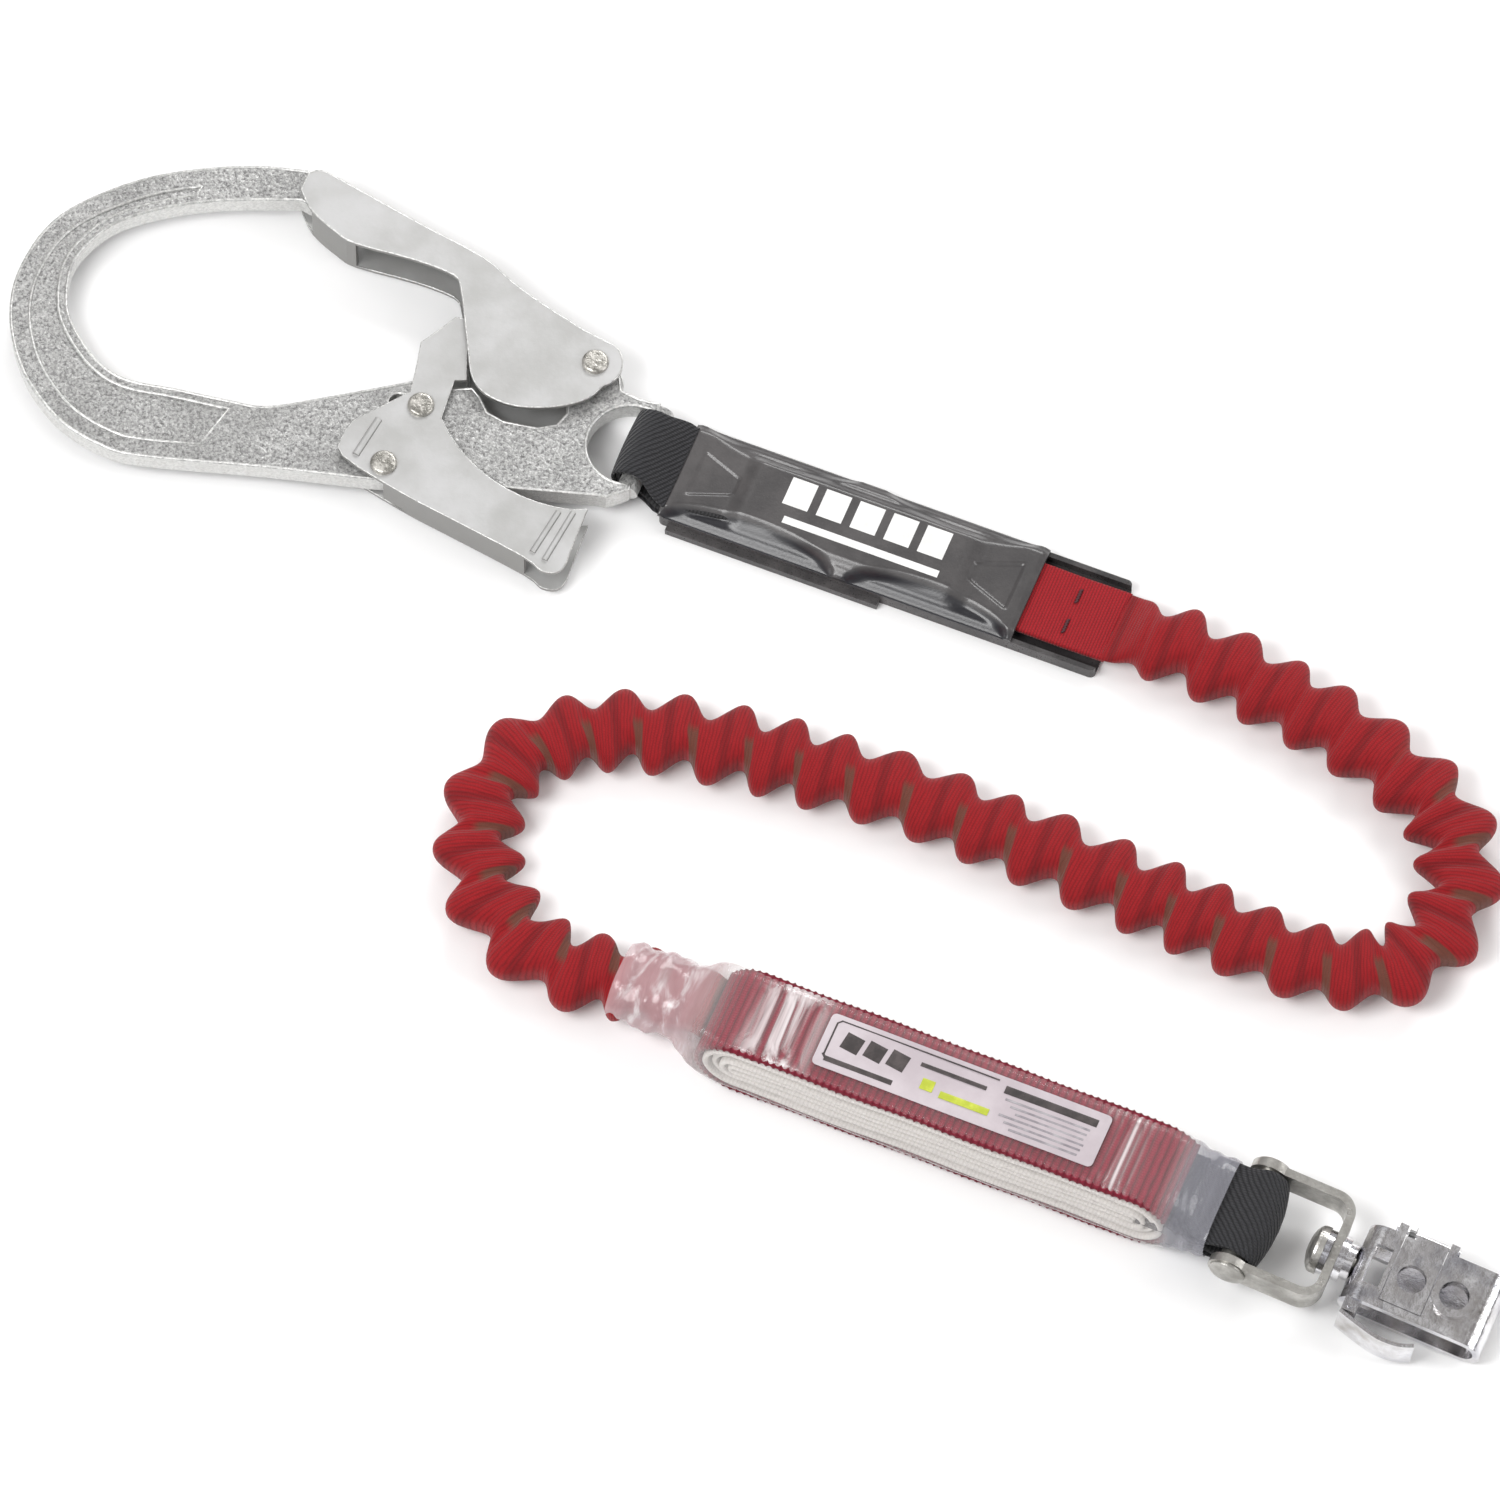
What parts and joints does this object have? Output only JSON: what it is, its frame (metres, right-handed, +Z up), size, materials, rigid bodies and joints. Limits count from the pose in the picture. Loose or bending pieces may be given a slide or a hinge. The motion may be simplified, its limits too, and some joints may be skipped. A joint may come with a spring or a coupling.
{
  "type": "shock absorbing lanyard",
  "caption": "Single lanyard: large locking scaffold hook, stitched loop in a moulded cover, elastic bellows strap, tear-webbing absorber in clear film, and a swivelling harness connector.",
  "frame": {"origin": "middle of the footprint of the rigid pieces and the absorber, on the surface the lanyard lies on", "axes": "+X from the hook towards the connector along the longest extent, +Y away from the front, +Z up from the surface"},
  "size_m": [0.5166, 0.4576, 0.0333],
  "materials": {
    "forged_plate": "hammered zinc, satin",
    "pressed_sheet": "satin plated",
    "rivets": "nickel satin",
    "spring_wire": "dark wire",
    "black_webbing": "dense woven",
    "black_twill": "twill ribs",
    "cover_plastic": "glossy, slightly see-through",
    "red_webbing": "flat woven",
    "stitch_thread": "thick thread",
    "bellows_webbing": "ruffled woven tube with elastic",
    "clear_film": "clear shrink film",
    "crimson_webbing": "ribbed across",
    "white_webbing": "folded in layers",
    "label_foil": "pale silver, printed bars",
    "yoke_steel": "dull stainless",
    "bright_steel": "polished",
    "connector_chrome": "polished",
    "thumb_steel": "satin"
  },
  "bodies": {
    "lanyard": {"hook_loop_webbing": "black_webbing", "hook_loop_sleeve": "black_twill", "stitch_cover_front": "cover_plastic", "stitch_cover_back": "cover_plastic", "strap_end": "red_webbing", "strap_end_stitches": "stitch_thread", "bellows_strap": "bellows_webbing", "absorber_film": "clear_film", "absorber_outer_webbing": "crimson_webbing", "tear_webbing": "white_webbing", "absorber_label": "label_foil", "yoke_loop_webbing": "black_webbing", "yoke_loop_sleeve": "black_twill"},
    "hook": {"hook_body": "forged_plate", "gate_pivot_rivet": "rivets", "lever_pivot_rivet": "rivets"},
    "gate": {"hook_gate": "pressed_sheet", "gate_spring": "spring_wire"},
    "lever": {"lock_lever": "pressed_sheet", "lever_guide_rivet": "rivets", "lever_spring": "spring_wire"},
    "yoke": {"yoke": "yoke_steel", "yoke_pin": "yoke_steel"},
    "connector": {"swivel_stud": "bright_steel", "swivel_washer": "bright_steel", "swivel_collar": "bright_steel", "connector_frame": "connector_chrome", "latch_pin": "bright_steel", "thumb_lever_pin": "bright_steel"},
    "latch": {"connector_latch": "connector_chrome", "latch_spring": "spring_wire"},
    "thumb": {"thumb_lever": "thumb_steel", "thumb_lever_spring": "spring_wire"}
  },
  "joints": [
    {"name": "hook_swing", "type": "hinge", "parent": "lanyard", "child": "hook", "pos_m": [-0.0364, 0.1173, 0.0108], "axis": [0.3746, 0.9272, 0], "range_deg": [-75, 75]},
    {"name": "gate_open", "type": "hinge", "parent": "hook", "child": "gate", "pos_m": [-0.05366, 0.14784, 0.0068], "axis": [0, 0, 1], "range_deg": [0, 22], "stiffness_Nm_per_rad": 0.12, "springref_deg": -8.59},
    {"name": "lever_press", "type": "hinge", "parent": "hook", "child": "lever", "pos_m": [-0.1271, 0.1091, 0.0068], "axis": [0, 0, 1], "range_deg": [0, 18], "stiffness_Nm_per_rad": 0.2, "springref_deg": -8.59},
    {"name": "yoke_pivot", "type": "hinge", "parent": "lanyard", "child": "yoke", "pos_m": [0.17006, -0.18084, 0.0161], "axis": [0.3859, 0.9225, 0], "range_deg": [-70, 70]},
    {"name": "connector_swivel", "type": "hinge", "parent": "yoke", "child": "connector", "pos_m": [0.19987, -0.19332, 0.01266], "axis": [0.9174, -0.3837, -0.1059], "continuous": true},
    {"name": "latch_lift", "type": "hinge", "parent": "connector", "child": "latch", "pos_m": [0.23059, -0.18872, 0.01566], "axis": [-0.9174, 0.3837, 0.1059], "range_deg": [0, 80], "stiffness_Nm_per_rad": 0.01, "springref_deg": -11.46},
    {"name": "thumb_press", "type": "hinge", "parent": "connector", "child": "thumb", "pos_m": [0.203, -0.21316, 0.01154], "axis": [0.0977, -0.0409, 0.9944], "range_deg": [0, 8], "stiffness_Nm_per_rad": 0.05, "springref_deg": -5.73}
  ]
}
